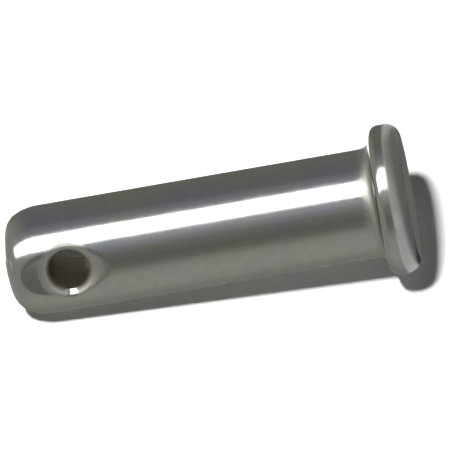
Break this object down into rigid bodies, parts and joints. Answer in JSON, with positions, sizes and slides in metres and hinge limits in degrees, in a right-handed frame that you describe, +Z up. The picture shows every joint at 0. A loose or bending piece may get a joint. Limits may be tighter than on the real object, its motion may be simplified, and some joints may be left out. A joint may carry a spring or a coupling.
{
  "type": "clevis pin",
  "caption": "Headed steel pin with a rounded head, a tapered point and a flared cross hole for a split pin; it holds a fork and a rod end together.",
  "frame": {"origin": "centre of the head's outer face, on which the pin stands", "axes": "+Z up the shank to the tapered point; the cotter hole's axis is along Y"},
  "size_m": [0.011, 0.0108, 0.0292],
  "materials": {
    "zinc_plated_steel": "bright zinc plating with a clear passivate, smooth and slightly wavy"
  },
  "bodies": {
    "root": {"clevis_pin": "zinc_plated_steel"}
  },
  "joints": []
}
